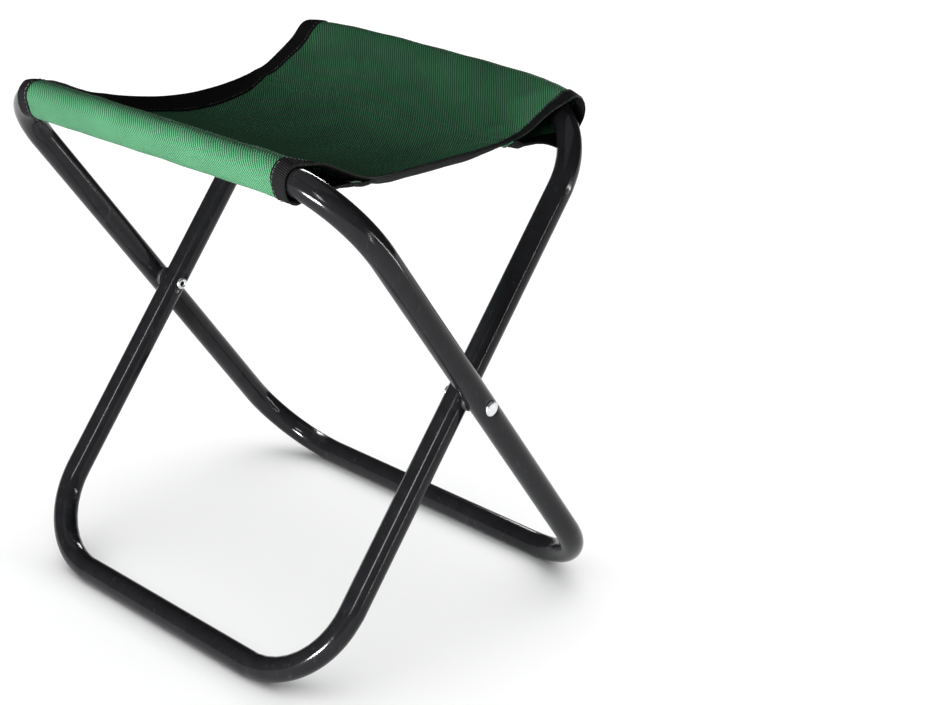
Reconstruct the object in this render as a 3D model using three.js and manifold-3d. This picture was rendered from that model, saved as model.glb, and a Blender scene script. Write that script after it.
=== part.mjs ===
// Folding camp stool: two closed loops of round steel tube, crossed like scissors on two rivets, with a
// cloth sling whose sleeves go round the two top bars.
// Millimetres, +Z up. The pivot axis lies along Y, the legs spread along X, and the origin is on the
// floor under the middle of the stool.
import * as THREE from 'three';
import { mergeVertices } from 'three/addons/utils/BufferGeometryUtils.js';
import Module from 'manifold-3d';

const wasm = await Module();
wasm.setup();

// ---------- driving dimensions ----------
const TUBE_R = 9.5; // 19 mm furniture tube, measured to the flats of its section
const TUBE_WALL = 1;
const TUBE_SIDES = 16;
const PIVOT_TO_TOP = 229; // along the leg, from the pivot axis to the top bar's centre line
const PIVOT_TO_BOTTOM = 233;
const BEND_R = 65; // centre line of every bend
const BEND_STEPS = 8;
const OUTER_HALF_WIDTH = 180; // to the leg centre lines of the outer loop
const TUBE_GAP = 3.5; // between the crossed legs, filled by a spacer washer
const LEG_TILT = THREE.MathUtils.degToRad(37.25); // lean of each loop with the stool open
const END_GAP = 0.4; // between the two ends of a loop's tube

const SPIGOT_R = 8;
const SPIGOT_BORE_R = 7;
const SPIGOT_LENGTH = 100;

const RIVET_HOLE_R = 3.2;
const RIVET_SHANK_R = 2.8;
const RIVET_HEAD_R = 5.75;
const RIVET_HEAD_H = 2.2;
const RIVET_TAIL_R = 4.75;
const RIVET_TAIL_H = 1.8;
const RIVET_BORE_R = 2;
const RIVET_BORE_DEPTH = 9;
const WASHER_R = 8;
const WASHER_HOLE_R = 3.3;
const CLEARANCE = 0.3; // left between pieces that touch

const CLOTH_T = 1.5;
const CLOTH_HALF_WIDTH = 140;
const SLEEVE_R = 10.3; // inside radius of the sleeve round its bar
const SLEEVE_OVERRUN = 3; // how far a sleeve runs past the straight part of its bar
const SLEEVE_ARC_STEPS = 14;
const SLEEVE_SLOPE = THREE.MathUtils.degToRad(25); // of the seat where it reaches the bar
const SEAM_U = 68; // end of the sleeve's lower layer, from the middle of the seat
const SEAM_WIDTH = 12; // strip where the two layers are sewn together
const SAG_Z = 350.5; // middle of the sling
const SAG_FLAT = 50; // how far the sling stays nearly level from its middle
const SAG_RISE = 45; // how far it runs straight down from the bar
const PANEL_STEPS = 9;
const CORNER_U = 92; // further out the cloth is only as wide as its sleeve
const INNER_END_U = 13; // free edge of the half on the inner loop
const LAP_U = -21; // the outer loop's half runs past the middle, under the other half
const LAP_DROP = 2.6;
const LAP_RAMP_U = 8; // it dips between this and the same distance past the middle
const LAP_HALF_WIDTH = 127;

const BINDING_T = 0.8;
const BINDING_COVER = 10; // tape on each face of the cloth
const BINDING_END_U = 15;

// ---------- derived places ----------
const INNER_HALF_WIDTH = OUTER_HALF_WIDTH - 2 * TUBE_R - TUBE_GAP;
const PIVOT_Z = PIVOT_TO_BOTTOM * Math.cos(LEG_TILT) + TUBE_R;
const BAR_U = PIVOT_TO_TOP * Math.sin(LEG_TILT); // top bar's distance from the middle plane
const BAR_Z = PIVOT_Z + PIVOT_TO_TOP * Math.cos(LEG_TILT);
const FLAT_TO_CORNER = 1 / Math.cos(Math.PI / TUBE_SIDES);
const TUBE_CORNER_R = TUBE_R * FLAT_TO_CORNER;

// ---------- materials ----------
const blackEnamel = new THREE.MeshStandardMaterial({ color: 0x141518, roughness: 0.22, metalness: 0 });
const bareSteel = new THREE.MeshStandardMaterial({ color: 0x8a8c90, roughness: 0.4, metalness: 1 });
const brightRivet = new THREE.MeshStandardMaterial({ color: 0xc9cbd0, roughness: 0.25, metalness: 1 });
const blackPlastic = new THREE.MeshStandardMaterial({ color: 0x101012, roughness: 0.6, metalness: 0 });
const greenCloth = new THREE.MeshStandardMaterial({ color: 0x1f6b43, roughness: 0.85, metalness: 0 });
const blackTape = new THREE.MeshStandardMaterial({ color: 0x0c0c0e, roughness: 0.9, metalness: 0 });

// ---------- solids ----------
function toSolid(geometry) {
  const bare = geometry.clone();
  bare.deleteAttribute('normal');
  bare.deleteAttribute('uv');
  const merged = mergeVertices(bare);
  return new wasm.Manifold(new wasm.Mesh({
    numProp: 3,
    vertProperties: new Float32Array(merged.attributes.position.array),
    triVerts: new Uint32Array(merged.index.array),
  }));
}

function toGeometry(solid) {
  const mesh = solid.getMesh();
  const geometry = new THREE.BufferGeometry();
  geometry.setAttribute('position', new THREE.BufferAttribute(new Float32Array(mesh.vertProperties), 3));
  geometry.setIndex(new THREE.BufferAttribute(new Uint32Array(mesh.triVerts), 1));
  geometry.computeVertexNormals();
  return geometry;
}

function boxBetween(low, high) {
  const box = new THREE.BoxGeometry(high[0] - low[0], high[1] - low[1], high[2] - low[2]);
  box.translate((low[0] + high[0]) / 2, (low[1] + high[1]) / 2, (low[2] + high[2]) / 2);
  return toSolid(box);
}

function turned(profile, sides) {
  return new THREE.LatheGeometry(profile.map(([r, y]) => new THREE.Vector2(r, y)), sides);
}

function piece(name, geometry, material) {
  const mesh = new THREE.Mesh(geometry, material);
  mesh.name = name;
  return mesh;
}

// ---------- tube loops ----------
// Centre line of one loop in its own plane, YZ, with the pivot at the origin. It starts and ends at the
// middle of the top bar. Bends are sampled closely, straights only at their ends.
class LoopPath extends THREE.Curve {
  constructor(halfWidth) {
    super();
    const straight = halfWidth - BEND_R;
    this.stations = [[-END_GAP / 2, PIVOT_TO_TOP]];
    this.addBend(-straight, PIVOT_TO_TOP - BEND_R, 90);
    this.addBend(-straight, BEND_R - PIVOT_TO_BOTTOM, 180);
    this.addBend(straight, BEND_R - PIVOT_TO_BOTTOM, 270);
    this.addBend(straight, PIVOT_TO_TOP - BEND_R, 0);
    this.stations.push([END_GAP / 2, PIVOT_TO_TOP]);
    this.steps = this.stations.length - 1;
  }

  // A quarter turn about (y, z).
  addBend(y, z, fromDeg) {
    for (let i = 0; i <= BEND_STEPS; i += 1) {
      const angle = THREE.MathUtils.degToRad(fromDeg + (90 * i) / BEND_STEPS);
      this.stations.push([y + BEND_R * Math.cos(angle), z + BEND_R * Math.sin(angle)]);
    }
  }

  getPoint(t, target = new THREE.Vector3()) {
    const place = THREE.MathUtils.clamp(t, 0, 1) * this.steps;
    const index = Math.min(Math.floor(place), this.steps - 1);
    const [y0, z0] = this.stations[index];
    const [y1, z1] = this.stations[index + 1];
    const share = place - index;
    return target.set(0, y0 + (y1 - y0) * share, z0 + (z1 - z0) * share);
  }

  // At a station the tangent halves the angle between the stretches that meet there.
  getTangent(t, target = new THREE.Vector3()) {
    const station = Math.round(THREE.MathUtils.clamp(t, 0, 1) * this.steps);
    const before = this.stretch(Math.max(station - 1, 0));
    const after = this.stretch(Math.min(station, this.steps - 1));
    return target.copy(before).add(after).normalize();
  }

  stretch(index) {
    const [y0, z0] = this.stations[index];
    const [y1, z1] = this.stations[index + 1];
    return new THREE.Vector3(0, y1 - y0, z1 - z0).normalize();
  }

  // Every step of the extrusion falls on a station, whatever the length of the stretch.
  getUtoTmapping(u) {
    return u;
  }
}

// The section is turned so that one of its flats faces the floor once the loop leans over.
function sectionPoints(flatRadius, lean) {
  const corner = flatRadius * FLAT_TO_CORNER;
  const points = [];
  for (let i = 0; i < TUBE_SIDES; i += 1) {
    const angle = -Math.PI / 2 - lean + ((i + 0.5) * 2 * Math.PI) / TUBE_SIDES;
    points.push(new THREE.Vector2(corner * Math.cos(angle), corner * Math.sin(angle)));
  }
  return points;
}

function tubeLoop(halfWidth, lean) {
  const path = new LoopPath(halfWidth);
  const section = new THREE.Shape(sectionPoints(TUBE_R, lean));
  section.holes.push(new THREE.Path(sectionPoints(TUBE_R - TUBE_WALL, lean)));
  const loop = new THREE.ExtrudeGeometry(section, { extrudePath: path, steps: path.steps });
  const drill = new THREE.CylinderGeometry(RIVET_HOLE_R, RIVET_HOLE_R, 2 * OUTER_HALF_WIDTH + 60, 16);
  return toGeometry(toSolid(loop).subtract(toSolid(drill)));
}

function spigot() {
  const half = SPIGOT_LENGTH / 2;
  const profile = [
    [SPIGOT_BORE_R, -half],
    [SPIGOT_R, -half],
    [SPIGOT_R, half],
    [SPIGOT_BORE_R, half],
    [SPIGOT_BORE_R, -half],
  ];
  return turned(profile, TUBE_SIDES).translate(0, 0, PIVOT_TO_TOP);
}

// With a positive lean the top bar goes to +X.
function leaningLoop(prefix, halfWidth, lean) {
  const group = new THREE.Group();
  group.position.set(0, 0, PIVOT_Z);
  group.rotation.y = lean;
  group.add(piece(`${prefix}_frame_tube`, tubeLoop(halfWidth, lean), blackEnamel));
  group.add(piece(`${prefix}_frame_joint_spigot`, spigot(), bareSteel));
  return group;
}

// ---------- pivots ----------
// A semi-tubular rivet through both legs: low domed head outside, hollow tail rolled over inside.
function rivet() {
  const headFace = OUTER_HALF_WIDTH + TUBE_CORNER_R + CLEARANCE;
  const tailFace = INNER_HALF_WIDTH - TUBE_CORNER_R - CLEARANCE;
  const profile = [
    [0, tailFace + RIVET_BORE_DEPTH],
    [RIVET_BORE_R, tailFace + RIVET_BORE_DEPTH],
    [RIVET_BORE_R, tailFace - RIVET_TAIL_H * 0.5],
    [RIVET_TAIL_R * 0.65, tailFace - RIVET_TAIL_H],
    [RIVET_TAIL_R * 0.9, tailFace - RIVET_TAIL_H * 0.7],
    [RIVET_TAIL_R, tailFace],
    [RIVET_SHANK_R, tailFace],
    [RIVET_SHANK_R, headFace],
    [RIVET_HEAD_R, headFace],
    [RIVET_HEAD_R * 0.88, headFace + RIVET_HEAD_H * 0.5],
    [RIVET_HEAD_R * 0.55, headFace + RIVET_HEAD_H * 0.85],
    [0, headFace + RIVET_HEAD_H],
  ];
  return turned(profile, 16);
}

function spacerWasher() {
  const middle = OUTER_HALF_WIDTH - TUBE_R - TUBE_GAP / 2;
  const half = TUBE_GAP / 2 - (TUBE_CORNER_R - TUBE_R) - CLEARANCE;
  const profile = [
    [WASHER_HOLE_R, middle - half],
    [WASHER_R, middle - half],
    [WASHER_R, middle + half],
    [WASHER_HOLE_R, middle + half],
    [WASHER_HOLE_R, middle - half],
  ];
  return turned(profile, 20);
}

// Turned pieces are made on the far side, +Y; a half turn about Z takes them to the near side.
function pivotHardware(side, turn) {
  const group = new THREE.Group();
  group.position.set(0, 0, PIVOT_Z);
  group.rotation.z = turn;
  group.add(piece(`${side}_pivot_rivet`, rivet(), brightRivet));
  group.add(piece(`${side}_spacer_washer`, spacerWasher(), blackPlastic));
  return group;
}

// ---------- seat cloth ----------
// Lines of the cloth's middle layer are points (u, z), u being the distance from the middle plane of the
// stool towards the half's own top bar.
const SLEEVE_MID_R = SLEEVE_R + CLOTH_T / 2;

function onSleeve(angle) {
  const out = BAR_U + SLEEVE_MID_R * Math.cos(angle);
  return new THREE.Vector2(out, BAR_Z + SLEEVE_MID_R * Math.sin(angle));
}

const sagEnd = onSleeve(Math.PI / 2 + SLEEVE_SLOPE);
const sagCurve = new THREE.CubicBezierCurve(
  new THREE.Vector2(0, SAG_Z),
  new THREE.Vector2(SAG_FLAT, SAG_Z),
  new THREE.Vector2(-Math.cos(SLEEVE_SLOPE), -Math.sin(SLEEVE_SLOPE)).multiplyScalar(SAG_RISE).add(sagEnd),
  sagEnd,
);

// Where along the sag curve it is u out from the middle.
function sagAt(u) {
  let low = 0;
  let high = 1;
  for (let i = 0; i < 40; i += 1) {
    const t = (low + high) / 2;
    if (sagCurve.getPoint(t).x < u) low = t;
    else high = t;
  }
  return low;
}

function seatLine(fromU) {
  const start = sagAt(fromU);
  const points = [];
  for (let i = 0; i < PANEL_STEPS; i += 1) {
    points.push(sagCurve.getPoint(start + ((1 - start) * i) / PANEL_STEPS));
  }
  return points;
}

function lapLine() {
  const low = SAG_Z - LAP_DROP;
  return [new THREE.Vector2(LAP_U, low), new THREE.Vector2(-LAP_RAMP_U, low)];
}

// From the end of the sag curve over the bar and back underneath to the seam.
function sleeveLine() {
  const seamOuter = sagCurve.getPoint(sagAt(SEAM_U + SEAM_WIDTH));
  const seamInner = sagCurve.getPoint(sagAt(SEAM_U));
  const layer = CLOTH_T * 0.9; // the layers bite into each other where they are sewn
  seamOuter.y -= layer;
  seamInner.y -= layer;
  const toBar = new THREE.Vector2(BAR_U, BAR_Z).sub(seamOuter);
  const first = Math.PI / 2 + SLEEVE_SLOPE;
  const last = toBar.angle() - Math.PI / 2 - Math.asin(SLEEVE_MID_R / toBar.length());
  const points = [];
  for (let i = 0; i <= SLEEVE_ARC_STEPS; i += 1) {
    points.push(onSleeve(first + ((last - first) * i) / SLEEVE_ARC_STEPS));
  }
  return { wrap: points, under: [points[SLEEVE_ARC_STEPS], seamOuter, seamInner] };
}

// A band of even thickness along a line of points.
function band(points, thickness) {
  const left = [];
  const right = [];
  points.forEach((point, i) => {
    const before = new THREE.Vector2().subVectors(point, points[Math.max(i - 1, 0)]).normalize();
    const after = new THREE.Vector2().subVectors(points[Math.min(i + 1, points.length - 1)], point).normalize();
    const along = new THREE.Vector2().addVectors(before, after).normalize();
    const reach = thickness / 2 / Math.max(along.dot(before), along.dot(after));
    const normal = new THREE.Vector2(-along.y, along.x).multiplyScalar(reach);
    left.push(point.clone().add(normal));
    right.unshift(point.clone().sub(normal));
  });
  return new THREE.Shape([...left, ...right]);
}

// The band run from one y to another, for the half whose bar is on the +X side.
function across(shape, fromY, toY) {
  const run = new THREE.ExtrudeGeometry(shape, { depth: toY - fromY, bevelEnabled: false });
  run.rotateX(Math.PI / 2);
  run.translate(0, toY, 0);
  return toSolid(run);
}

function bothSides(solid) {
  return solid.add(solid.mirror([0, 1, 0]));
}

function clothHalf(line, sleeveHalfWidth, edgeU) {
  const { wrap, under } = sleeveLine();
  const sleeve = across(band([...line, ...wrap], CLOTH_T), -sleeveHalfWidth, sleeveHalfWidth)
    .add(across(band(under, CLOTH_T), -sleeveHalfWidth, sleeveHalfWidth));
  const wing = across(band([...line, ...wrap], CLOTH_T), sleeveHalfWidth - 1, CLOTH_HALF_WIDTH)
    .intersect(boxBetween([edgeU, 0, 0], [CORNER_U, CLOTH_HALF_WIDTH + 10, BAR_Z + 50]));
  return sleeve.add(bothSides(wing));
}

// A tape folded over the cloth's free edge, from near the middle of the seat to the corner.
function binding(line) {
  const { wrap } = sleeveLine();
  const slot = CLOTH_T + 2 * CLEARANCE;
  const edge = CLOTH_HALF_WIDTH + CLEARANCE;
  const run = [...line, ...wrap];
  const reach = boxBetween([BINDING_END_U, 0, 0], [CORNER_U, edge + 10, BAR_Z + 50]);
  return across(band(run, slot + 2 * BINDING_T), CLOTH_HALF_WIDTH - BINDING_COVER, edge + BINDING_T)
    .subtract(across(band(run, slot), 0, edge))
    .intersect(reach);
}

// side is the sign of X where the half's top bar is.
function seatHalf(name, line, sleeveHalfWidth, edgeU, side) {
  const placed = (solid) => toGeometry(side < 0 ? solid.mirror([1, 0, 0]) : solid);
  const far = binding(line);
  const near = far.mirror([0, 1, 0]);
  const group = new THREE.Group();
  group.add(piece(`seat_cloth_${name}_half`, placed(clothHalf(line, sleeveHalfWidth, edgeU)), greenCloth));
  group.add(piece(`near_binding_${name}_half`, placed(near), blackTape));
  group.add(piece(`far_binding_${name}_half`, placed(far), blackTape));
  return group;
}

// ---------- assembly ----------
const outerSleeve = OUTER_HALF_WIDTH - BEND_R + SLEEVE_OVERRUN;
const innerSleeve = INNER_HALF_WIDTH - BEND_R + SLEEVE_OVERRUN;
const outerLine = [...lapLine(), ...seatLine(LAP_RAMP_U)];
const innerLine = seatLine(INNER_END_U);

const stool = new THREE.Group();
stool.name = 'camp_stool';
stool.add(leaningLoop('outer', OUTER_HALF_WIDTH, -LEG_TILT));
stool.add(leaningLoop('inner', INNER_HALF_WIDTH, LEG_TILT));
stool.add(pivotHardware('near', Math.PI));
stool.add(pivotHardware('far', 0));
stool.add(seatHalf('outer', outerLine, outerSleeve, INNER_END_U, -1));
stool.add(seatHalf('inner', innerLine, innerSleeve, INNER_END_U, 1));

export default stool;
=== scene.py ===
# Folding camp stool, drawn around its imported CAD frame.
# Lengths are in millimetres until a mesh is made; +Y runs along the pivot axis and the top bars.
import math

import bpy
import numpy as np
from mathutils import Matrix, Vector


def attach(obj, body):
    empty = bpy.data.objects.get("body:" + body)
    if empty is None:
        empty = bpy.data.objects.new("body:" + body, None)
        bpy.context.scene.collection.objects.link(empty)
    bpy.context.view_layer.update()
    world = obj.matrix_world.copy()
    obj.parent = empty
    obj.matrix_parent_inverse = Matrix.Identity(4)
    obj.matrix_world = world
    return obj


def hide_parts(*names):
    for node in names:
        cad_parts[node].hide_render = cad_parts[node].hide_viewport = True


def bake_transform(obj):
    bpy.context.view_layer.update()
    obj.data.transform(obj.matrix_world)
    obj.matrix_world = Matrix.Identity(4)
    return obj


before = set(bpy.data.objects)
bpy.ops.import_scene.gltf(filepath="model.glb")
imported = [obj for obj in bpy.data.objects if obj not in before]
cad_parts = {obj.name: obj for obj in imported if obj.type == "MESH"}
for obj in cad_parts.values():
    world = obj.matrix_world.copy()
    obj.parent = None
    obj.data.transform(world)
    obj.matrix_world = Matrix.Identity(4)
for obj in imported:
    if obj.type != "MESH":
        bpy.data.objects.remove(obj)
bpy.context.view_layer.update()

MM = 0.001

# ---------- sizes shared with the CAD model ----------
TUBE_R = 9.5
PIVOT_TO_TOP = 229.0
PIVOT_TO_BOTTOM = 233.0
BEND_R = 65.0
OUTER_HALF = 180.0
TUBE_GAP = 3.5
INNER_HALF = OUTER_HALF - 2 * TUBE_R - TUBE_GAP
TILT = math.radians(37.25)
PIVOT_Z = PIVOT_TO_BOTTOM * math.cos(TILT) + TUBE_R
BAR_U = PIVOT_TO_TOP * math.sin(TILT)
BAR_Z = PIVOT_Z + PIVOT_TO_TOP * math.cos(TILT)

# ---------- tube looks ----------
TUBE_SIDES = 48
OVAL = 0.045  # how much a bend narrows the tube in its own plane
OVAL_INSIDE = 0.4  # share of that on the inside of the bend
OVAL_OUTSIDE = 1.5  # and on its outside
OVAL_WIDENS = 0.4  # and how much of it the tube gains across the bend
BEND_ONSET = 7.0  # length over which it narrows
BEND_STEPS = 26
RIPPLE = 0.16  # height of the faint wrinkles on the inside of a bend
RIPPLE_PITCH = 11.0
DIMPLE_DEPTH = 1.3  # of the flat pressed into a leg under a rivet
DIMPLE_R = 8.0
PRESSED_REACH = 30.0  # a leg is flattened only this near its pivot
FIT_GAP = 0.05  # between a rivet or washer and the tube it bears on
RIVET_SIDES = 48
SPACER_SIDES = 40

# ---------- cloth ----------
CLOTH_HALF = 140.0
CLOTH_T = 0.7
WAIST = 12.0  # how far a free edge draws in at mid-span
SEAM_U = 74.0  # between the two rows of stitches that close a sleeve
SEAM_HALF = 4.0
HEM_U = 68.0
PANEL_N = 74
WRAP_N = 34
LOWER_N = 24
HEM_N = 8
ACROSS_N = 132
HULL_N = 160  # directions in which a sleeve's outline is sampled

BAR_GAP = 0.75  # middle of the cloth's thickness, off the tube
MOUTH_GAP = 0.9
MOUTH_FROM = 122.0  # the sleeve widens to MOUTH_GAP from here, over MOUTH_LENGTH
MOUTH_LENGTH = 8.0
CORNER_FROM = 125.0  # the sleeve's end takes its own shape from here, over CORNER_LENGTH
CORNER_LENGTH = 11.0

# Heights of the sling on its way from the middle of the seat to the bar, at these distances out.
SLING_U = np.array([0.0, 30.0, 58.0, 79.0, 98.0, 114.0])
BELLY_Z = np.array([340.5, 342.0, 348.0, 356.5, 367.0, 377.0])
BELLY_SLOPE = 31.0  # degrees, where the middle of the sling meets the bar
EARLY_LIFT = 0.14  # share of the free edge's extra height that grows with the square of v
LATE_LIFT = 0.86  # share that comes only close to the edge
LATE_POWER = 11

JOIN_U = SEAM_U + SEAM_HALF + 2  # where the sleeve's lower layer comes up to the panel
HEM_DROP = 1.1  # of the hem below the panel
HEM_CORNER_DROP = 1.9
LOWER_BULGE = -1.8  # how far the lower layer bows up between bar and seam; negative is down
LOWER_CORNER_BULGE = 2.8
WRAP_LOWEST = math.radians(-85)

CREASE_GAIN = 1.5
CREASE_STARTS = 0.3  # shares of a crease's length over which it rises and fades
CREASE_FADES = 0.45
SLING_WAVE = 0.45  # heights of the slow waves in the sling
SLING_RIPPLE = 0.22
PUCKER = 0.38  # heights of the puckers along the seam
PUCKER_SLOW = 0.15
PUCKER_REACH = 8.0
SLEEVE_DENT = 0.2

# Free stretches of the two sleeves, above and below the bar: y, shift outward, shift up, radius.
OUTER_LOOPS = [
    [(-140, -2.9, -4.8, 10.3), (-112, 0, 0, 10.25), (112, 0, 0, 10.25), (140, -2.9, -4.8, 10.3)],
    [(-140, -3.4, -7.6, 10.2), (-118, -1.0, -5.8, 9.8), (0, -0.6, -6.2, 9.8), (80, -0.6, -7.0, 9.8),
     (118, -0.6, -7.6, 9.8), (140, -3.4, -8.2, 10.2)],
]
INNER_LOOPS = [
    [(-140, -7.1, -5.6, 12.2), (-130, -5.0, -3.2, 11.8), (-118, -3.0, -0.8, 11.4),
     (-104, -1.4, 1.0, 11.0), (-86, -0.4, 2.4, 10.6), (-50, 0, 3.6, 10.3), (0, 0, 4.8, 10.3),
     (60, 0, 5.6, 10.4), (98, -0.6, 5.6, 10.7), (118, -2.8, 4.8, 11.3), (132, -6.0, 3.4, 12.0),
     (140, -8.1, 2.2, 12.5)],
    [(-140, -9.0, -5.0, 10.4), (-92, -0.5, -1.5, 9.8), (92, -0.5, -2.5, 9.8),
     (140, -9.0, -6.0, 11.0)],
]

# Soft ridges of the cloth, from a puckered seam or a taut corner into the seat:
# u and y of the start, u and y of the end, width, height.
OUTER_MARKS = [
    (76, -136, 22, -96, 5.0, 1.3),
    (76, 134, 30, 84, 5.5, 1.5),
    (84, 120, 48, 96, 4.0, 0.9),
    (80, 60, 40, 74, 4.5, 0.7),
    (78, 20, 36, 34, 5.0, 0.6),
    (80, -40, 46, -52, 4.0, 0.6),
    (118, 100, 84, 60, 4.0, 0.8),
    (120, 20, 90, -30, 4.5, 0.7),
    (118, -70, 88, -110, 4.0, 0.8),
]
INNER_MARKS = [
    (76, -136, 24, -100, 5.0, 1.4),
    (78, 136, 26, 100, 5.5, 1.3),
    (86, -120, 70, -86, 3.6, 1.0),
    (112, 60, 92, 18, 4.0, 0.8),
    (118, 84, 96, 58, 3.4, 0.7),
    (78, 40, 34, 22, 5.0, 0.7),
    (80, -24, 48, -36, 4.4, 0.6),
    (124, -122, 100, -98, 3.4, 0.9),
]

# ---------- binding tape and thread ----------
NEAR_COVER = 10.0
FAR_COVER = 14.0
TAPE_T = 0.45
TAPE_GAP = 0.25
TAPE_STEPS = np.array([1.0, 0.93, 0.7, 0.46, 0.24, 0.08, 0.0])  # across it, to the free edge
TAPE_BORDER = 0.15  # its outer face stands this far off its inner one along the border
TAPE_LUMPS = 0.18
TAPE_SLOW_LUMPS = 0.2
FOLD_ANGLES = np.radians([60, 20, -20, -60])
FOLD_SLACK = 0.3

CROWDING = 1.25  # radians; the cloth's columns crowd towards its free edges
SEAM_STITCH = (2.6, 1.1)  # length and gap
EDGE_STITCH = (2.4, 1.0)
FIRST_STITCH = 0.8
NEAR_STITCH_INSET = 8.2
FAR_STITCH_INSET = 12.0
STITCH_SIDES = 5


# ---------- small helpers ----------
def smooth(t):
    t = np.clip(t, 0.0, 1.0)
    return t * t * (3 - 2 * t)


def mix(a, b, t):
    return a + (b - a) * t


def unit(v):
    return v / np.maximum(np.linalg.norm(v, axis=-1, keepdims=True), 1e-9)


def new_mesh(name, points, faces, material, uv=None, sharp=None):
    """points in mm; uv gives a pair for each point; sharp lists edges that keep a crisp corner."""
    mesh = bpy.data.meshes.new(name)
    mesh.from_pydata((np.asarray(points) * MM).tolist(), [], np.asarray(faces).tolist())
    mesh.polygons.foreach_set("use_smooth", np.ones(len(mesh.polygons), bool))
    if uv is not None:
        layer = mesh.uv_layers.new(name="cloth")
        index = np.zeros(len(mesh.loops), np.int32)
        mesh.loops.foreach_get("vertex_index", index)
        layer.data.foreach_set("uv", np.asarray(uv, np.float32)[index].ravel())
    if sharp is not None:
        wanted = {tuple(sorted(pair)) for pair in np.asarray(sharp).tolist()}
        flags = [tuple(sorted(edge.vertices)) in wanted for edge in mesh.edges]
        attribute = mesh.attributes.new("sharp_edge", "BOOLEAN", "EDGE")
        attribute.data.foreach_set("value", flags)
    mesh.update()
    obj = bpy.data.objects.new(name, mesh)
    bpy.context.scene.collection.objects.link(obj)
    mesh.materials.append(material)
    return obj


def grid_faces(rows, cols, close_rows=False, close_cols=False, flip=False):
    """Quads between the points of a grid, as rows of four indices."""
    i = np.arange(rows if close_rows else rows - 1)
    j = np.arange(cols if close_cols else cols - 1)
    i, j = [a.ravel() for a in np.meshgrid(i, j, indexing="ij")]
    i2 = (i + 1) % rows
    j2 = (j + 1) % cols
    quads = np.stack([i * cols + j, i2 * cols + j, i2 * cols + j2, i * cols + j2], 1)
    return quads[:, ::-1] if flip else quads


def turned(name, profile, centre, sign, sides, material):
    """A profile of (radius, y) turned about the Y axis; sign mirrors it to the near or the far side."""
    profile = np.asarray(profile, float)
    angle = np.arange(sides) * 2 * math.pi / sides
    r = profile[:, 0:1]
    x = r * np.cos(angle)
    z = r * np.sin(angle)
    y = np.repeat(profile[:, 1:2], sides, 1) * sign
    points = np.stack([x + centre[0], y + centre[1], z + centre[2]], -1).reshape(-1, 3)
    faces = grid_faces(len(profile), sides, close_cols=True, flip=sign > 0)
    return new_mesh(name, points, faces, material)


# ---------- materials ----------
class Nodes:
    """A material and the few calls that wire its nodes."""

    def __init__(self, name):
        self.material = bpy.data.materials.new(name)
        self.material.use_nodes = True
        self.tree = self.material.node_tree
        self.shader = self.tree.nodes["Principled BSDF"]

    def add(self, kind, **settings):
        node = self.tree.nodes.new(kind)
        for key, value in settings.items():
            setattr(node, key, value)
        return node

    def put(self, socket, value):
        if isinstance(value, bpy.types.NodeSocket):
            self.tree.links.new(value, socket)
        else:
            socket.default_value = value

    def maths(self, operation, a, b=0.0, c=0.0):
        node = self.add("ShaderNodeMath", operation=operation)
        self.put(node.inputs[0], a)
        self.put(node.inputs[1], b)
        self.put(node.inputs[2], c)
        return node.outputs[0]

    def ramp(self, value, *stops):
        node = self.add("ShaderNodeValToRGB")
        self.put(node.inputs[0], value)
        elements = node.color_ramp.elements
        while len(elements) < len(stops):
            elements.new(0.5)
        for element, (place, colour) in zip(elements, stops):
            element.position = place
            element.color = (*colour, 1.0)
        return node.outputs[0]

    def noise(self, vector, scale, detail=2.0, roughness=0.5):
        node = self.add("ShaderNodeTexNoise")
        self.put(node.inputs["Scale"], scale)
        self.put(node.inputs["Detail"], detail)
        self.put(node.inputs["Roughness"], roughness)
        self.put(node.inputs["Vector"], vector)
        return node.outputs["Fac"]

    def wave(self, value, pitch, phase=0.0):
        """A sine from 0 to 1 along value, which is in metres, one wave each pitch."""
        turn = self.maths("MULTIPLY_ADD", value, 2 * math.pi / pitch, phase)
        return self.maths("MULTIPLY_ADD", self.maths("SINE", turn), 0.5, 0.5)

    def scaled(self, vector, *factors):
        node = self.add("ShaderNodeVectorMath", operation="MULTIPLY")
        self.put(node.inputs[0], vector)
        node.inputs[1].default_value = factors
        return node.outputs[0]

    def bump(self, height, strength, distance, normal=None):
        node = self.add("ShaderNodeBump")
        self.put(node.inputs["Strength"], strength)
        self.put(node.inputs["Distance"], distance)
        self.put(node.inputs["Height"], height)
        if normal is not None:
            self.put(node.inputs["Normal"], normal)
        return node.outputs[0]

    def colour_mix(self, factor, a, b):
        node = self.add("ShaderNodeMix", data_type="RGBA")
        self.put(node.inputs[0], factor)
        self.put(node.inputs[6], a if isinstance(a, bpy.types.NodeSocket) else (*a, 1.0))
        self.put(node.inputs[7], b if isinstance(b, bpy.types.NodeSocket) else (*b, 1.0))
        return node.outputs[2]

    def set(self, **inputs):
        for key, value in inputs.items():
            self.put(self.shader.inputs[key.replace("_", " ")], value)


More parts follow.
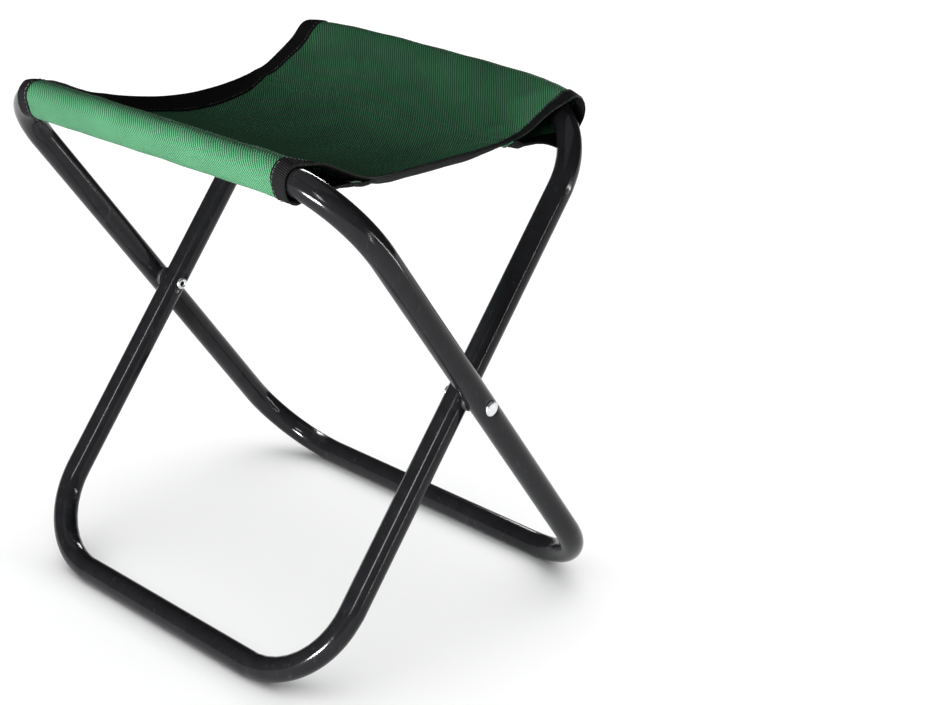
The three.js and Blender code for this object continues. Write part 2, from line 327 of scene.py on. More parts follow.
# ---------- tube loops ----------
def loop_stations(half):
    """Stations round one loop in its own plane: (y, z, tangent angle, share of bend)."""
    straight = half - BEND_R
    rows = []

    def line(start, end, angle, ticks):
        for t in ticks:
            rows.append((mix(start[0], end[0], t), mix(start[1], end[1], t), angle, 0.0))

    def bend(cy, cz, start):
        for k in range(1, BEND_STEPS):
            turn = start + math.pi / 2 * k / BEND_STEPS
            reach = min(k, BEND_STEPS - k) * BEND_R * math.pi / 2 / BEND_STEPS
            rows.append((cy + BEND_R * math.cos(turn), cz + BEND_R * math.sin(turn),
                         turn + math.pi / 2, min(reach / BEND_ONSET, 1.0)))

    top, bottom = PIVOT_TO_TOP, -PIVOT_TO_BOTTOM
    leg_top, leg_bottom = top - BEND_R, bottom + BEND_R
    long_ticks = np.linspace(0, 1, 13)
    near_pivot = np.arange(-20, 21, 1.6)
    leg = np.unique(np.concatenate([np.linspace(leg_bottom, leg_top, 24), near_pivot]))
    leg_ticks = (leg_top - leg) / (leg_top - leg_bottom)
    line((straight, top), (-straight, top), math.pi, long_ticks)
    bend(-straight, leg_top, math.pi / 2)
    line((-half, leg_top), (-half, leg_bottom), 1.5 * math.pi, np.sort(leg_ticks))
    bend(-straight, leg_bottom, math.pi)
    line((-straight, bottom), (straight, bottom), 0.0, long_ticks)
    bend(straight, leg_bottom, 1.5 * math.pi)
    line((half, leg_bottom), (half, leg_top), math.pi / 2, np.sort(1 - leg_ticks))
    bend(straight, leg_top, 0.0)
    return np.array(rows)


def tube_loop(name, half, lean, pressed, material):
    """pressed is the side of each leg that a rivet flattens: 1 outside, -1 inside."""
    st = loop_stations(half)
    y, z, angle, bent = st.T
    bent = smooth(bent)
    ring = np.arange(TUBE_SIDES) * 2 * math.pi / TUBE_SIDES
    inward = np.stack([-np.sin(angle), np.cos(angle)], 1)
    c, s = np.cos(ring)[None, :], np.sin(ring)[None, :]
    in_plane = TUBE_R * c * (1 - OVAL * bent[:, None] * np.where(c > 0, OVAL_INSIDE, OVAL_OUTSIDE))
    sideways = TUBE_R * s * (1 + OVAL_WIDENS * OVAL * bent[:, None])
    along = np.cumsum(np.hypot(np.diff(y, prepend=y[-1]), np.diff(z, prepend=z[-1])))
    ripple = RIPPLE * np.sin(along * 2 * math.pi / RIPPLE_PITCH)[:, None]
    in_plane = in_plane - ripple * bent[:, None] * np.clip(c, 0, 1) ** 3
    py = y[:, None] + in_plane * inward[:, 0:1]
    pz = z[:, None] + in_plane * inward[:, 1:2]
    # the flat under a rivet
    reach = np.hypot(sideways, pz)
    press = DIMPLE_DEPTH * np.exp(-((reach / DIMPLE_R) ** 4))
    side = np.sign(py)
    out = (np.abs(py) - half) * pressed
    flattened = (out > 0) & (np.abs(pz) < PRESSED_REACH)
    out = np.where(flattened, np.minimum(out, TUBE_R - press), out)
    on_leg = np.abs(np.abs(y) - half) < 0.1
    py = np.where(on_leg[:, None], side * (half + out * pressed), py)
    ca, sa = math.cos(lean), math.sin(lean)
    points = np.stack([sideways * ca + pz * sa, py, -sideways * sa + pz * ca + PIVOT_Z], -1)
    faces = grid_faces(len(st), TUBE_SIDES, close_rows=True, close_cols=True)
    return new_mesh(name, points.reshape(-1, 3), faces, material)


# ---------- pivots ----------
def rivet(name, sign, material):
    """Semi-tubular rivet: up its hollow, over the rolled tail, along the shank and round the head."""
    head = OUTER_HALF + TUBE_R - DIMPLE_DEPTH + FIT_GAP
    tail = INNER_HALF - TUBE_R + DIMPLE_DEPTH * 0.6 - FIT_GAP
    profile = [
        (0.01, tail + 9.0), (1.9, tail + 9.0), (2.0, tail + 8.6), (2.0, tail - 0.6), (2.15, tail - 1.5),
        (2.6, tail - 2.0), (3.2, tail - 2.15), (3.8, tail - 2.0), (4.4, tail - 1.5), (4.7, tail - 0.8),
        (4.75, tail - 0.3), (4.6, tail + 0.1), (2.9, tail + 0.2), (2.8, tail + 0.5), (2.8, head - 0.5),
        (2.9, head - 0.2), (5.3, head - 0.1), (5.65, head + 0.15), (5.75, head + 0.55), (5.65, head + 1.0),
        (5.3, head + 1.4), (4.6, head + 1.72), (3.4, head + 1.98), (1.8, head + 2.12), (0.01, head + 2.17),
    ]
    return turned(name, profile, (0, 0, PIVOT_Z), sign, RIVET_SIDES, material)


def spacer(name, sign, material):
    """Washer between two crossed legs, its rims slightly rounded."""
    middle = OUTER_HALF - TUBE_R - TUBE_GAP / 2
    half = TUBE_GAP / 2 - FIT_GAP
    lower = [(3.3, -half), (7.2, -half), (7.7, 0.15 - half), (8.0, 0.6 - half)]
    upper = [(r, -y) for r, y in reversed(lower)]
    profile = [(r, middle + y) for r, y in [*lower, *upper, lower[0]]]
    return turned(name, profile, (0, 0, PIVOT_Z), sign, SPACER_SIDES, material)


# ---------- cloth surface ----------
# Profiles lie in planes of constant y, in (u, z): u is the distance from the stool's middle plane.
# Each runs from the middle of the seat up to the bar, over it, back underneath and along the hem.
LEG = np.array([math.sin(TILT), math.cos(TILT)])
CROSS = np.array([math.cos(TILT), -math.sin(TILT)])
THETA = np.radians(np.arange(-170, 175, 1.0))
NORMALS = np.stack([np.cos(THETA), np.sin(THETA)], 1)


def waist(u):
    """Half width of the cloth at u."""
    return CLOTH_HALF - WAIST * np.clip(1 - (u / SEAM_U) ** 2, 0, 1)


def bar_support(y, straight, loops):
    """Support function of what the sleeve is stretched over at y, for every direction in THETA.

    loops are the free stretches of the sleeve, above and below the bar: for each y in its first column,
    the shift of a circle from the bar's centre and the circle's radius."""
    past = min(max(abs(y) - straight, 0.0), BEND_R - 2)
    drop = BEND_R - math.sqrt(BEND_R ** 2 - past ** 2)
    bar = np.array([BAR_U, BAR_Z])
    stretch = 1 / math.sqrt(1 - (past / BEND_R) ** 2)
    gap = mix(BAR_GAP, MOUTH_GAP, float(smooth((abs(y) - MOUTH_FROM) / MOUTH_LENGTH)))
    along = (TUBE_R * stretch + gap) * (NORMALS @ LEG)
    across = (TUBE_R + gap) * (NORMALS @ CROSS)
    support = NORMALS @ (bar - drop * LEG) + np.hypot(along, across)
    for table in loops:
        du, dz, radius = (np.interp(y, table[:, 0], table[:, k]) for k in (1, 2, 3))
        support = np.maximum(support, NORMALS @ (bar + (du, dz)) + radius)
    return support


def hull_points(h, low, high):
    """Boundary points of the convex body with support h, for directions from high down to low."""
    slope = np.gradient(h, THETA)
    angles = np.linspace(high, low, HULL_N)
    hv = np.interp(angles, THETA, h)
    sv = np.interp(angles, THETA, slope)
    c, s = np.cos(angles), np.sin(angles)
    return np.stack([hv * c - sv * s, hv * s + sv * c], 1)


def resample(points, count):
    """Points at equal steps along a line in the plane."""
    steps = np.hypot(*np.diff(points, axis=0).T)
    length = np.concatenate([[0], np.cumsum(steps)])
    wanted = np.linspace(0, length[-1], count)
    return np.stack([np.interp(wanted, length, points[:, k]) for k in (0, 1)], 1)


def through(x, knots, heights, end_slope):
    """Smooth curve through the knots, level at the first and with end_slope at the last."""
    steps = np.diff(heights) / np.diff(knots)
    inner = (steps[:-1] + steps[1:]) / 2
    slopes = np.concatenate([[0.0], inner, [end_slope]])
    k = np.clip(np.searchsorted(knots, x, side="right") - 1, 0, len(knots) - 2)
    width = knots[k + 1] - knots[k]
    t = (x - knots[k]) / width
    a = (1 + 2 * t) * (1 - t) ** 2 * heights[k] + t * (1 - t) ** 2 * width * slopes[k]
    b = t * t * (3 - 2 * t) * heights[k + 1] + t * t * (t - 1) * width * slopes[k + 1]
    return a + b


def profile(v, half):
    """The cloth's middle layer at cloth coordinate v, which is y where the cloth is at full width."""
    edge = abs(v) / CLOTH_HALF
    lift = EARLY_LIFT * edge ** 2 + LATE_LIFT * edge ** LATE_POWER
    corner = float(smooth((abs(v) - CORNER_FROM) / CORNER_LENGTH))
    edge_z = half.near_z if v < 0 else half.far_z
    edge_slope = half.near_slope if v < 0 else half.far_slope
    slope = math.radians(mix(BELLY_SLOPE, edge_slope, lift))
    highest = math.pi / 2 + slope

    h = bar_support(v, half.straight, half.loops)
    leave = hull_points(h, highest, highest)[0]
    knots = np.append(SLING_U, leave[0])
    heights = np.append(mix(BELLY_Z, edge_z, lift), leave[1])

    def sling(x):
        return through(x, knots, heights, math.tan(slope))

    u = np.linspace(0, leave[0], PANEL_N)
    panel = np.stack([u, sling(u)], 1)

    drop = mix(HEM_DROP, half.tip[0] if v < 0 else half.tip[1], corner)
    join = np.array([JOIN_U, sling(np.array([JOIN_U]))[0] - drop])
    outside = np.where((THETA < 0) & (h - NORMALS @ join < 0))[0]
    low = THETA[outside[-1]] if len(outside) else WRAP_LOWEST
    wrap = resample(hull_points(h, low, highest), WRAP_N + 1)[1:]

    t = np.linspace(0, 1, LOWER_N + 1)[1:, None]
    lower = wrap[-1] + (join - wrap[-1]) * t
    lower[:, 1] += np.sin(math.pi * t[:, 0]) * mix(LOWER_BULGE, LOWER_CORNER_BULGE, corner)
    hem_u = np.linspace(JOIN_U, HEM_U, HEM_N + 1)[1:]
    back = smooth((JOIN_U - hem_u) / (JOIN_U - HEM_U))
    below = mix(drop, mix(HEM_DROP, HEM_CORNER_DROP, corner), back)
    hem = np.stack([hem_u, sling(hem_u) - below], 1)
    return np.concatenate([panel, wrap, lower, hem])


def creases(u, y, marks):
    """Sum of soft ridges, each (u0, y0, u1, y1, width, height), tapering at both ends."""
    total = np.zeros_like(u)
    for u0, y0, u1, y1, width, height in marks:
        du, dy = u1 - u0, y1 - y0
        length = math.hypot(du, dy)
        t = ((u - u0) * du + (y - y0) * dy) / length ** 2
        off = ((u - u0) * dy - (y - y0) * du) / length
        taper = smooth(t / CREASE_STARTS) * smooth((1 - t) / CREASE_FADES)
        total += CREASE_GAIN * height * np.exp(-((off / width) ** 2)) * taper
    return total


def puckers(u, y):
    """Small uneven gathers along the seam."""
    height = PUCKER * np.sin(0.55 * y + 2 * np.sin(0.11 * y)) + PUCKER_SLOW * np.sin(0.31 * y + 1)
    return height * np.exp(-(((u - SEAM_U) / PUCKER_REACH) ** 2))


def slow_waves(u, y):
    """Two crossing sets of low waves in the sling."""
    wave = SLING_WAVE * np.sin(u / 9.0 + y / 23.0) * np.sin(y / 17.0 + 1.3)
    return wave + SLING_RIPPLE * np.sin(u / 6.0 - y / 11.0 + 0.7) * np.sin(u / 19.0 + 0.4)


def sleeve_dents(row, y):
    """Uneven dents where the cloth goes round the bar, from -0.2 to 2.8 times SLEEVE_DENT."""
    dents = np.sin(y / 13.0 + 1.5 * np.sin(y / 31.0)) * np.sin(row / 5.0 + y / 40.0)
    dents += 0.5 * np.sin(y / 7.0 + row / 4.0)
    return SLEEVE_DENT * (1.3 + dents)


class Half:
    """One half of the sling, from the middle of the seat round its own bar."""

    def __init__(self, side, straight, loops, near, far, tip, marks):
        self.side = side
        self.straight = straight
        self.loops = [np.array(table) for table in loops]
        self.near_z, self.near_slope = np.array(near[0]), near[1]
        self.far_z, self.far_slope = np.array(far[0]), far[1]
        self.tip = tip
        self.marks = marks

    def surface(self, vs):
        """Points (rows along the profile, columns across) for the cloth coordinates vs."""
        vs = np.asarray(vs, float)
        flat = np.stack([profile(v, self) for v in vs], 1)
        u, z = flat[..., 0], flat[..., 1]
        y = vs[None, :] * waist(u) / CLOTH_HALF
        points = np.stack([u, y, z], -1)
        level = u ** 2 / (u + 8.0)  # level with the other half where they meet
        row = np.arange(len(u))[:, None]  # the fades below are counted in rows
        on_panel = smooth((PANEL_N + 6 - row) / 18.0)
        on_sleeve = smooth((row - PANEL_N + 8) / 10.0) * smooth((PANEL_N + WRAP_N + 4 - row) / 12.0)
        amount = creases(level, y, self.marks) + puckers(u, y) + slow_waves(level, y)
        amount = amount * on_panel + sleeve_dents(row, y) * on_sleeve
        rising = 1.0 if vs[-1] > vs[0] else -1.0
        points += rising * self.normals(points) * amount[..., None]
        return points

    def normals(self, points):
        """Unit normals facing up on the seat and away from the bar, for columns in order of rising y."""
        return unit(np.cross(np.gradient(points, axis=0), np.gradient(points, axis=1)))

    def world(self, points):
        """From (u, y, z) to (x, y, z): the outer half lies on the side of -x."""
        return points * np.array([self.side, 1.0, 1.0])


def lengths_along(points):
    """Arc length down the middle column, for the weave."""
    middle = points[:, points.shape[1] // 2]
    return np.concatenate([[0], np.cumsum(np.linalg.norm(np.diff(middle, axis=0), axis=1))])


def grid_uv(along, across):
    """A pair in metres for each point of a grid."""
    return np.stack(np.meshgrid(along * MM, across * MM, indexing="ij"), -1).reshape(-1, 2)


def solid_sheet(name, half, points, normals, vs, material):
    """The cloth as a closed sheet around its middle layer, with a crisp rim."""
    rows, cols = points.shape[:2]
    top = points + normals * CLOTH_T / 2
    bottom = points - normals * CLOTH_T / 2
    all_points = half.world(np.concatenate([top.reshape(-1, 3), bottom.reshape(-1, 3)]))
    flip = half.side < 0
    upper = grid_faces(rows, cols, flip=flip)
    lower = grid_faces(rows, cols, flip=not flip) + rows * cols
    border = np.concatenate([
        np.arange(cols),
        np.arange(1, rows) * cols + cols - 1,
        (rows - 1) * cols + np.arange(cols - 2, -1, -1),
        np.arange(rows - 2, 0, -1) * cols,
    ])
    after = np.roll(border, -1)
    rim = np.stack([border, after, after + rows * cols, border + rows * cols], 1)
    if flip:
        rim = rim[:, ::-1]
    corners = np.stack([border, after], 1)
    sharp = np.concatenate([corners, corners + rows * cols])
    uv = grid_uv(half.side * lengths_along(points), vs)
    faces = np.concatenate([upper, lower, rim])
    return new_mesh(name, all_points, faces, material, np.concatenate([uv, uv]), sharp)


def tape(name, half, sign, material):
    """Binding folded over one free edge, all along the profile."""
    cover = (NEAR_COVER if sign < 0 else FAR_COVER) * TAPE_STEPS
    points = half.surface(sign * (CLOTH_HALF - cover))
    rows, steps = points.shape[:2]
    if sign < 0:
        normals = half.normals(points[:, ::-1])[:, ::-1]
    else:
        normals = half.normals(points)
    outward = unit(points[:, -1] - points[:, -3])
    near = CLOTH_T / 2 + TAPE_GAP
    far = near + TAPE_T
    row = np.arange(rows)
    lumps = TAPE_LUMPS * np.sin(row * 0.9) + TAPE_SLOW_LUMPS * np.sin(row * 0.41 + 1)
    over = points + normals * (far + lumps[:, None, None])
    over[:, 0] = points[:, 0] + normals[:, 0] * (near + TAPE_BORDER)
    under = points - normals * far
    under[:, 0] = points[:, 0] - normals[:, 0] * (near + TAPE_BORDER)

    # Columns of its section: outer face, fold, lower face, then back along the cloth inside it.
    ring = [over[:, k] for k in range(steps)]
    for angle in FOLD_ANGLES:
        lifted = points[:, -1] + normals[:, -1] * far * math.sin(angle)
        ring.append(lifted + outward * (far + FOLD_SLACK) * math.cos(angle))
    ring += [under[:, k] for k in reversed(range(steps))]
    ring += [points[:, k] - normals[:, k] * near for k in range(1, steps - 1)]
    ring += [points[:, k] + normals[:, k] * near for k in reversed(range(1, steps - 1))]
    ring = np.stack(ring, 1)

    flip = (half.side < 0) == (sign > 0)
    faces = grid_faces(rows, ring.shape[1], close_cols=True, flip=not flip)
    across = np.concatenate([cover, [-1, -2, -3, -4], -5 - cover[::-1], -12 - np.arange(2 * (steps - 2))])
    uv = grid_uv(lengths_along(points), across)
    return new_mesh(name, half.world(ring.reshape(-1, 3)), faces, material, uv)


def stitches(name, half, lines, material, radius=0.24, lift=0.28):
    """Short pieces of thread along lines, each a list of (a, b, normal) in half coordinates."""
    t = np.array([0.0, 0.2, 0.5, 0.8, 1.0])
    height = np.array([-0.5, 0.6, 1.0, 0.6, -0.5]) * lift
    thick = np.array([0.7, 1.0, 1.0, 1.0, 0.7]) * radius
    turn = np.arange(STITCH_SIDES) * 2 * math.pi / STITCH_SIDES
    a, b, n = (np.array(column, float) for column in zip(*lines))
    d = unit(b - a)
    n = unit(n - d * np.sum(n * d, 1, keepdims=True))
    s = np.cross(d, n)
    mid = a[:, None] + (b - a)[:, None] * t[None, :, None] + n[:, None] * height[None, :, None]
    cos, sin = (wave(turn)[None, None, :, None] for wave in (np.cos, np.sin))
    around = cos * s[:, None, None] + sin * n[:, None, None]
    points = mid[:, :, None] + around * thick[None, :, None, None]
    block = grid_faces(len(t), STITCH_SIDES, close_cols=True, flip=half.side > 0)
    first = np.arange(len(a)) * len(t) * STITCH_SIDES
    faces = (block[None] + first[:, None, None]).reshape(-1, 4)
    return new_mesh(name, half.world(points.reshape(-1, 3)), faces, material)


def stitch_line(path, normals, length, gap):
    """Stitches of a length along a path of points, sunk at both ends."""
    steps = np.linalg.norm(np.diff(path, axis=0), axis=1)
    along = np.concatenate([[0], np.cumsum(steps)])
    made = []
    place = FIRST_STITCH
    while place + length < along[-1]:
        ends = []
        for s in (place, place + length):
            ends.append([np.interp(s, along, path[:, k]) for k in range(3)])
        n = [np.interp(place + length / 2, along, normals[:, k]) for k in range(3)]
        made.append((ends[0], ends[1], n))
        place += length + gap
    return made


# ---------- surfaces ----------
# Pitches in metres. The twill's lines slant from the way that runs from bar to bar.
TWILL_SLANT = math.radians(37.5)
TWILL_PITCH = 0.00175
PICK_PITCH = 0.0011
RIB_PITCH = 0.0013
CORD_PITCH = 0.0016


def enamel():
    n = Nodes("gloss_black_enamel")
    place = n.add("ShaderNodeTexCoord").outputs["Object"]
    mottling = n.noise(place, 90.0, 3.0)
    peel = n.noise(place, 900.0)
    scuff = n.noise(n.scaled(place, 1.0, 1.0, 0.25), 260.0, 4.0, 0.65)
    worn = n.ramp(scuff, (0.60, (0.0, 0.0, 0.0)), (0.74, (1.0, 1.0, 1.0)))
    colour = n.colour_mix(mottling, (0.0035, 0.0035, 0.004), (0.0075, 0.0075, 0.0085))
    n.set(Base_Color=n.colour_mix(worn, colour, (0.012, 0.012, 0.013)))
    n.set(Roughness=n.maths("MULTIPLY_ADD", worn, 0.16, 0.13))
    n.set(Specular_IOR_Level=0.17, IOR=1.5)
    n.set(Normal=n.bump(peel, 0.10, 0.0002))
    return n.material


def cloth_green():
    n = Nodes("green_woven_polyester")
    uv = n.add("ShaderNodeUVMap", uv_map="cloth").outputs[0]
    split = n.add("ShaderNodeSeparateXYZ")
    n.put(split.inputs[0], uv)
    along, across = split.outputs[0], split.outputs[1]
    wobble = n.maths("MULTIPLY", n.noise(uv, 60.0), 0.0006)
    slanted = n.maths("MULTIPLY", along, -math.sin(TWILL_SLANT))
    over = n.maths("MULTIPLY_ADD", across, math.cos(TWILL_SLANT), slanted)
    twill = n.wave(n.maths("ADD", over, wobble), TWILL_PITCH)
    picks = n.wave(n.maths("ADD", along, wobble), PICK_PITCH)
    weave = n.maths("MULTIPLY", n.maths("MULTIPLY_ADD", picks, 0.35, 0.65), twill)
    fibres = n.noise(n.scaled(uv, 1.0, 6.0, 1.0), 900.0, 3.0, 0.7)
    cloudy = n.noise(uv, 22.0, 3.0, 0.55)
    pale = n.colour_mix(weave, (0.0016, 0.015, 0.0062), (0.0420, 0.195, 0.0840))
    shade = n.ramp(cloudy, (0.35, (0.74, 0.78, 0.78)), (0.65, (1.0, 1.0, 1.0)))
    tint = n.add("ShaderNodeMix", data_type="RGBA", blend_type="MULTIPLY")
    n.put(tint.inputs[0], 1.0)
    n.put(tint.inputs[6], pale)
    n.put(tint.inputs[7], shade)
    n.set(Base_Color=tint.outputs[2])
    n.set(Roughness=n.maths("MULTIPLY_ADD", fibres, 0.2, 0.66))
    n.set(Specular_IOR_Level=0.3)
    fine = n.bump(fibres, 0.12, 0.0002)
    n.set(Normal=n.bump(weave, 0.9, 0.0006, fine))
    return n.material


def tape_black():
    n = Nodes("black_ribbed_binding")
    uv = n.add("ShaderNodeUVMap", uv_map="cloth").outputs[0]
    split = n.add("ShaderNodeSeparateXYZ")
    n.put(split.inputs[0], uv)
    along, across = split.outputs[0], split.outputs[1]
    ribs = n.wave(along, RIB_PITCH)
    cords = n.wave(across, CORD_PITCH)
    weave = n.maths("MULTIPLY", ribs, n.maths("MULTIPLY_ADD", cords, 0.6, 0.4))
    lint = n.noise(uv, 1500.0, 3.0, 0.7)
    n.set(Base_Color=n.colour_mix(weave, (0.0010, 0.0010, 0.0011), (0.0080, 0.0080, 0.0088)))
    n.set(Roughness=n.maths("MULTIPLY_ADD", lint, 0.25, 0.6))
    n.set(Specular_IOR_Level=0.06)
    n.set(Normal=n.bump(weave, 0.8, 0.0006, n.bump(lint, 0.15, 0.0002)))
    return n.material


def thread(name, colour):
    n = Nodes(name)
    place = n.add("ShaderNodeTexCoord").outputs["Object"]
    twist = n.noise(place, 2500.0, 2.0)
    n.set(Base_Color=n.colour_mix(twist, tuple(0.6 * c for c in colour), colour))
    n.set(Roughness=0.6, Sheen_Weight=0.2)
    n.set(Normal=n.bump(twist, 0.3, 0.0001))
    return n.material


def rivet_plate():
    n = Nodes("bright_plated_rivet")
    place = n.add("ShaderNodeTexCoord").outputs["Object"]
    marks = n.noise(place, 700.0, 3.0, 0.6)
    tarnish = n.noise(place, 220.0, 2.0)
    n.set(Base_Color=n.colour_mix(tarnish, (0.62, 0.63, 0.65), (0.86, 0.87, 0.88)))
    n.set(Metallic=1.0, Roughness=n.maths("MULTIPLY_ADD", marks, 0.25, 0.16))
    n.set(Normal=n.bump(marks, 0.25, 0.00025))
    return n.material


def nylon():
    n = Nodes("black_nylon_spacer")
    place = n.add("ShaderNodeTexCoord").outputs["Object"]
    grain = n.noise(place, 1400.0, 2.0)
    n.set(Base_Color=n.colour_mix(grain, (0.006, 0.006, 0.007), (0.012, 0.012, 0.013)))
    n.set(Roughness=n.maths("MULTIPLY_ADD", grain, 0.2, 0.42))
    n.set(Normal=n.bump(grain, 0.2, 0.0001))
    return n.material


def spigot_steel():
    n = Nodes("bare_spigot_steel")
    place = n.add("ShaderNodeTexCoord").outputs["Object"]
    drawn = n.noise(n.scaled(place, 1.0, 0.03, 1.0), 1200.0, 3.0)
    n.set(Base_Color=n.colour_mix(drawn, (0.38, 0.38, 0.40), (0.56, 0.56, 0.58)))
    n.set(Metallic=1.0, Roughness=n.maths("MULTIPLY_ADD", drawn, 0.2, 0.3))
    return n.material


def floor_paint():
    n = Nodes("pale_floor")
    place = n.add("ShaderNodeTexCoord").outputs["Object"]
    faint = n.noise(place, 3.0, 2.0)
    n.set(Base_Color=n.colour_mix(faint, (0.90, 0.90, 0.90), (0.92, 0.92, 0.92)))
    n.set(Roughness=0.9, Specular_IOR_Level=0.1)
    return n.material


# ---------- camera ----------
AZIMUTH = math.radians(-48.15)
ELEVATION = math.radians(22.28)
ROLL = math.radians(2.11)
TARGET = Vector((60.6, -112.5, 196.8)) * MM
DISTANCE = 1.3115
LENS_MM = 67.91

back = Vector((
    math.sin(AZIMUTH) * math.cos(ELEVATION),
    -math.cos(AZIMUTH) * math.cos(ELEVATION),
    math.sin(ELEVATION),
))
level = Vector((0, 0, 1)).cross(back).normalized()
upright = back.cross(level)
right = level * math.cos(ROLL) + upright * math.sin(ROLL)
up = upright * math.cos(ROLL) - level * math.sin(ROLL)
camera_data = bpy.data.cameras.new("camera")
camera_data.lens = LENS_MM
camera_data.sensor_width = 36
camera_data.dof.use_dof = False
camera = bpy.data.objects.new("camera", camera_data)
bpy.context.scene.collection.objects.link(camera)
pose = Matrix((right, up, back)).transposed().to_4x4()
pose.translation = TARGET + back * DISTANCE
camera.matrix_world = pose
bpy.context.scene.camera = camera

# ---------- floor and light ----------
FLOOR_HALF = 2e4
SURROUND_R = 18000
SURROUND_HEIGHTS = np.radians([-1, 10, 30, 50, 70, 89])

floor_corners = [(x * FLOOR_HALF, y * FLOOR_HALF, 0) for x, y in ((-1, -1), (1, -1), (1, 1), (-1, 1))]
floor = new_mesh("floor", floor_corners, [(0, 1, 2, 3)], floor_paint())

world = bpy.data.worlds.new("studio")
world.use_nodes = True
background = world.node_tree.nodes["Background"]
background.inputs["Color"].default_value = (1.0, 1.0, 1.0, 1.0)
background.inputs["Strength"].default_value = 0.08
bpy.context.scene.world = world
bpy.context.scene.view_settings.view_transform = "Standard"


def softbox(name, place, aim, width, length, watts, along=(0.0, 0.0, 1.0)):
    """Area light at place facing aim; its length runs as nearly as it can along the given direction."""
    data = bpy.data.lights.new(name, "AREA")
    data.shape = "RECTANGLE"
    data.size = width
    data.size_y = length
    data.energy = watts
    lamp = bpy.data.objects.new(name, data)
    away = (Vector(place) - Vector(aim)).normalized()
    across = Vector(along).cross(away).normalized()
    turn = Matrix((across, away.cross(across), away)).transposed().to_4x4()
    turn.translation = place
    lamp.matrix_world = turn
    lamp.visible_camera = False
    bpy.context.scene.collection.objects.link(lamp)
    return lamp


SEAT = (0.0, 0.0, 0.34)
INNER_LEG = (math.sin(TILT), 0.0, math.cos(TILT))
key = softbox("key", (-1.85, -0.45, 0.22), SEAT, 0.5, 0.22, 128.0)
top = softbox("top", (0.1, 0.1, 2.4), (0.0, 0.0, 0.0), 2.4, 2.4, 11.0, along=(0.0, 1.0, 0.0))
fill = softbox("fill", (-1.95, -0.60, 0.78), SEAT, 1.0, 0.6, 52.0)
back_fill = softbox("back_fill", (2.00, -0.35, 0.50), SEAT, 1.0, 0.5, 75.0)
strips = [
    softbox("back_strip", (1.25, 0.75, 1.15), (0.0, 0.0, 0.2), 0.12, 1.2, 15.0),
    softbox("front_strip", (0.03, -2.1, 0.24), (0.03, 0.0, 0.24), 0.035, 1.1, 7.0, INNER_LEG),
    softbox("side_strip", (1.0, -1.45, 0.36), (-0.10, -0.18, 0.33), 0.06, 1.3, 12.0, (0.94, 0.75, -0.85)),
    softbox("left_panel", (-1.25, -0.85, 1.05), (0.0, 0.0, 0.05), 0.12, 0.4, 6.0),
]

# The floor has a light of its own, and the softboxes leave it alone, so that it stays evenly pale.
floor_sun = bpy.data.lights.new("floor_sun", "SUN")
floor_sun.energy = 3.9
floor_sun.angle = math.radians(120)
floor_lamp = bpy.data.objects.new("floor_sun", floor_sun)
bpy.context.scene.collection.objects.link(floor_lamp)
only_floor = bpy.data.collections.new("only_floor")
only_floor.objects.link(floor)
floor_lamp.light_linking.receiver_collection = only_floor
not_floor = bpy.data.collections.new("not_floor")
not_floor.objects.link(floor)
not_floor.collection_objects[0].light_linking.link_state = "EXCLUDE"
for lamp in (key, top):
    lamp.light_linking.receiver_collection = not_floor

# A pale surround that only the camera sees.
surround = bpy.data.materials.new("pale_surround")
surround.use_nodes = True
surround_shader = surround.node_tree.nodes["Principled BSDF"]
surround_shader.inputs["Base Color"].default_value = (0.0, 0.0, 0.0, 1.0)
surround_shader.inputs["Emission Color"].default_value = (1.0, 1.0, 1.0, 1.0)
surround_shader.inputs["Emission Strength"].default_value = 1.0
dome_turns = np.radians(np.arange(0, 360, 10))
dome_rings = [(SURROUND_R * math.cos(e), SURROUND_R * math.sin(e)) for e in SURROUND_HEIGHTS]
dome_points = [(r * math.cos(a), r * math.sin(a), z) for r, z in dome_rings for a in dome_turns]
dome_faces = grid_faces(len(SURROUND_HEIGHTS), len(dome_turns), close_cols=True)
dome = new_mesh("surround", dome_points, dome_faces, surround)
dome.visible_diffuse = False
dome.visible_glossy = False
dome.visible_shadow = False
dome.visible_transmission = False

# ---------- pieces ----------
enamel_black = enamel()
plate = rivet_plate()
spacer_black = nylon()

outer_tube = tube_loop("outer_tube", OUTER_HALF, -TILT, 1, enamel_black)
inner_tube = tube_loop("inner_tube", INNER_HALF, TILT, -1, enamel_black)
only_tubes = bpy.data.collections.new("only_tubes")
for tube in (outer_tube, inner_tube):
    only_tubes.objects.link(tube)
for strip in strips:
    strip.light_linking.receiver_collection = only_tubes
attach(outer_tube, "outer_frame")
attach(inner_tube, "inner_frame")
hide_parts("outer_frame_tube")
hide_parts("inner_frame_tube")

for side, sign in (("near", -1), ("far", 1)):
    pin = rivet(f"{side}_rivet", sign, plate)
    washer = spacer(f"{side}_spacer", sign, spacer_black)
    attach(pin, "outer_frame")
    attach(washer, "outer_frame")
    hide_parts(f"{side}_pivot_rivet")
    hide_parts(f"{side}_spacer_washer")

bare = spigot_steel()
for prefix in ("outer", "inner"):
    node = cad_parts[f"{prefix}_frame_joint_spigot"]
    node.data.materials.clear()
    node.data.materials.append(bare)

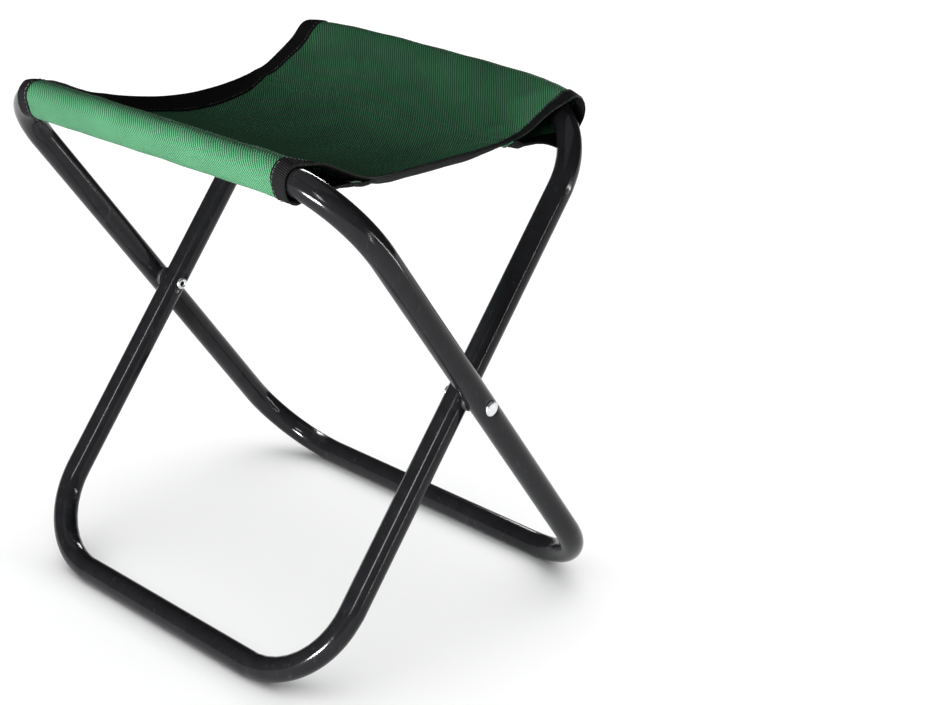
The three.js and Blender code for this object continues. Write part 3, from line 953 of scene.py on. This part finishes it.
# ---------- the sling ----------
# near and far: the free edge's heights at SLING_U, and the degrees at which it meets the bar.
# tip: how far the sleeve's near and far ends hang below the panel at the seam.
halves = {
    "outer": Half(
        -1, OUTER_HALF - BEND_R, OUTER_LOOPS,
        near=((357.0, 357.6, 360.2, 365.5, 373.0, 380.3), 11),
        far=((355.2, 356.6, 360.6, 365.0, 372.0, 379.0), 12),
        tip=(4.4, 5.0), marks=OUTER_MARKS,
    ),
    "inner": Half(
        1, INNER_HALF - BEND_R, INNER_LOOPS,
        near=((357.0, 358.0, 361.2, 366.5, 373.8, 379.5), 11),
        far=((355.2, 356.0, 357.8, 360.4, 370.0, 380.4), 24),
        tip=(9.0, 7.0), marks=INNER_MARKS,
    ),
}
only_cloth = bpy.data.collections.new("only_cloth")
fill.light_linking.receiver_collection = only_cloth
back_fill.light_linking.receiver_collection = only_cloth

green = cloth_green()
black_tape = tape_black()
green_thread = thread("dark_green_thread", (0.012, 0.055, 0.03))
grey_thread = thread("grey_thread", (0.022, 0.022, 0.024))

for prefix, half in halves.items():
    vs = CLOTH_HALF * np.sin(np.linspace(-1, 1, ACROSS_N) * CROWDING) / math.sin(CROWDING)
    points = half.surface(vs)
    normals = half.normals(points)
    cloth = solid_sheet(f"seat_{prefix}_half", half, points, normals, vs, green)
    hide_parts(f"seat_cloth_{prefix}_half")

    bindings = []
    for side, sign in (("near", -1), ("far", 1)):
        binding = tape(f"{side}_binding_{prefix}", half, sign, black_tape)
        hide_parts(f"{side}_binding_{prefix}_half")
        bindings.append(binding)

    between_tapes = (vs > NEAR_COVER + 1 - CLOTH_HALF) & (vs < CLOTH_HALF - FAR_COVER - 1)
    seam_rows = []
    u_panel = points[:PANEL_N, ACROSS_N // 2, 0]
    for u_row in (SEAM_U - SEAM_HALF, SEAM_U + SEAM_HALF):
        k = int(np.argmin(np.abs(u_panel - u_row)))
        path = points[k] + normals[k] * CLOTH_T / 2
        seam_rows += stitch_line(path[between_tapes], normals[k][between_tapes], *SEAM_STITCH)
    seam = stitches(f"seam_stitches_{prefix}", half, seam_rows, green_thread)

    edge_rows = []
    for sign, inset in ((-1, NEAR_STITCH_INSET), (1, FAR_STITCH_INSET)):
        line_v = sign * (CLOTH_HALF - inset) + np.array([-0.4, 0.0, 0.4])  # rising, so normals face up
        strip = half.surface(line_v)
        strip_normals = half.normals(strip)
        path = strip[:, 1] + strip_normals[:, 1] * (CLOTH_T / 2 + TAPE_GAP + TAPE_T)
        edge_rows += stitch_line(path, strip_normals[:, 1], *EDGE_STITCH)
    edge = stitches(f"binding_stitches_{prefix}", half, edge_rows, grey_thread, radius=0.2, lift=0.2)

    for piece in (cloth, *bindings, seam, edge):
        only_cloth.objects.link(piece)
        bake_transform(piece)
